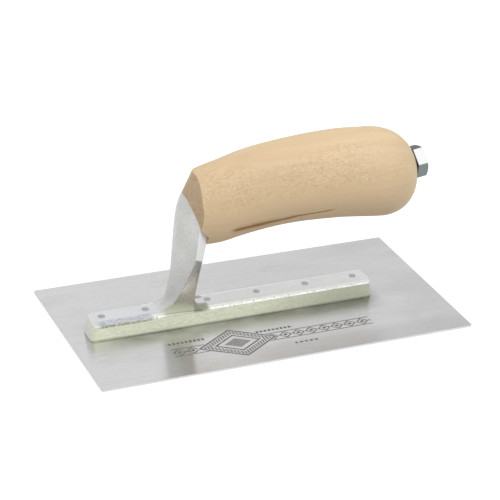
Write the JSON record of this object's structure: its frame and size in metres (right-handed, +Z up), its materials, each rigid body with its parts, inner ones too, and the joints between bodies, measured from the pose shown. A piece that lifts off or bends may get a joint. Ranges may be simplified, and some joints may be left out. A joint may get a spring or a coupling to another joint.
{
  "type": "finishing trowel",
  "caption": "Small rectangular steel finishing trowel with a cast light-alloy bar and shank, rivets, an oval wood handle and a hex-head handle bolt.",
  "frame": {"origin": "centre of the blade's underside, in the working plane", "axes": "+X along the blade's length, from the shank towards the handle's butt; +Y across the blade; +Z up from the blade to the handle"},
  "size_m": [0.1906, 0.1016, 0.0898],
  "materials": {
    "blade": "satin, brushed",
    "mounting": "as cast, with ground edges",
    "handle": "sanded, thin clear coat",
    "handle_bolt": "zinc plated",
    "rivet": "upset ends, dull"
  },
  "bodies": {
    "root": {"blade": "blade", "mounting": "mounting", "handle": "handle", "handle_bolt": "handle_bolt", "rivet_1": "rivet", "rivet_2": "rivet", "rivet_3": "rivet", "rivet_4": "rivet", "rivet_5": "rivet", "rivet_6": "rivet"}
  },
  "joints": []
}
